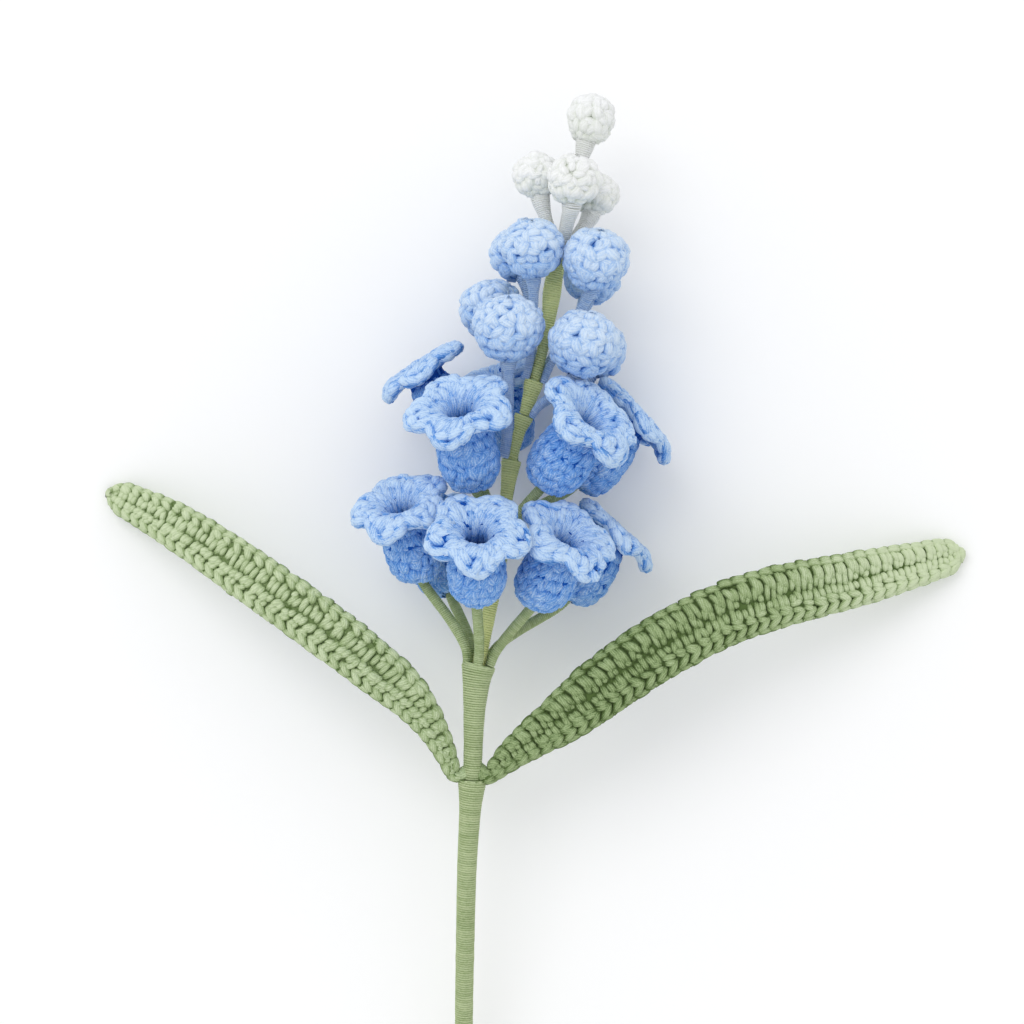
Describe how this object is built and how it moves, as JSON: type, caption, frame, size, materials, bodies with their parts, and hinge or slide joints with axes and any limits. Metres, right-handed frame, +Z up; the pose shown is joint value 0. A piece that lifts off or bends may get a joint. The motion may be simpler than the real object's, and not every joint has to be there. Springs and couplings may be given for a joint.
{
  "type": "crocheted grape hyacinth stem",
  "caption": "Crocheted yarn flower stem: blue bells and round buds on wrapped wires up a green stalk with two arching leaves, lying on its back.",
  "frame": {"origin": "centre of the bounding box in plan, at the table that the flower lies on", "axes": "+Y along the stalk from its cut end to its tip, +Z up from the table towards the flower's front, +X to the right seen from the front"},
  "size_m": [0.2216, 0.3326, 0.0624],
  "materials": {
    "stalk_yarn": "green yarn wound tightly round wire",
    "leaf_yarn": "green crocheted yarn",
    "bell_blue_yarn": "mid-blue crocheted yarn",
    "pale_blue_yarn": "pale blue crocheted yarn",
    "white_yarn": "white crocheted yarn",
    "steel_wire": "cut end of the stalk's wire"
  },
  "bodies": {
    "root": {"bell_high_back": "bell_blue_yarn", "bell_high_front_left": "bell_blue_yarn", "bell_high_front_right": "bell_blue_yarn", "bell_high_left": "bell_blue_yarn", "bell_high_right": "bell_blue_yarn", "bell_low_back": "bell_blue_yarn", "bell_low_far_right": "bell_blue_yarn", "bell_low_front": "bell_blue_yarn", "bell_low_left": "bell_blue_yarn", "bell_low_right": "bell_blue_yarn", "bell_stem_high_back": "stalk_yarn", "bell_stem_high_front_left": "stalk_yarn", "bell_stem_high_front_right": "stalk_yarn", "bell_stem_high_left": "stalk_yarn", "bell_stem_high_right": "stalk_yarn", "bell_stem_low_back": "stalk_yarn", "bell_stem_low_far_right": "stalk_yarn", "bell_stem_low_front": "stalk_yarn", "bell_stem_low_left": "stalk_yarn", "bell_stem_low_right": "stalk_yarn", "bud_high_back_left": "pale_blue_yarn", "bud_high_back_right": "pale_blue_yarn", "bud_high_front_left": "pale_blue_yarn", "bud_high_front_right": "pale_blue_yarn", "bud_low_back_left": "pale_blue_yarn", "bud_low_back_right": "pale_blue_yarn", "bud_low_front_left": "pale_blue_yarn", "bud_low_front_right": "pale_blue_yarn", "bud_stem_high_back_left": "pale_blue_yarn", "bud_stem_high_back_right": "pale_blue_yarn", "bud_stem_high_front_left": "pale_blue_yarn", "bud_stem_high_front_right": "pale_blue_yarn", "bud_stem_low_back_left": "pale_blue_yarn", "bud_stem_low_back_right": "pale_blue_yarn", "bud_stem_low_front_left": "pale_blue_yarn", "bud_stem_low_front_right": "pale_blue_yarn", "bud_stem_tip_front": "white_yarn", "bud_stem_tip_left": "white_yarn", "bud_stem_tip_right": "white_yarn", "bud_stem_tip_top": "white_yarn", "bud_tip_front": "white_yarn", "bud_tip_left": "white_yarn", "bud_tip_right": "white_yarn", "bud_tip_top": "white_yarn", "leaf_left": "leaf_yarn", "leaf_right": "leaf_yarn", "spike_wrap_collar": "stalk_yarn", "spike_wrap_high": "stalk_yarn", "spike_wrap_low": "stalk_yarn", "spike_wrap_middle": "stalk_yarn", "spike_wrap_top": "stalk_yarn", "stalk_wire": "steel_wire", "stalk_wrap_lower": "stalk_yarn", "stalk_wrap_upper": "stalk_yarn"}
  },
  "joints": []
}
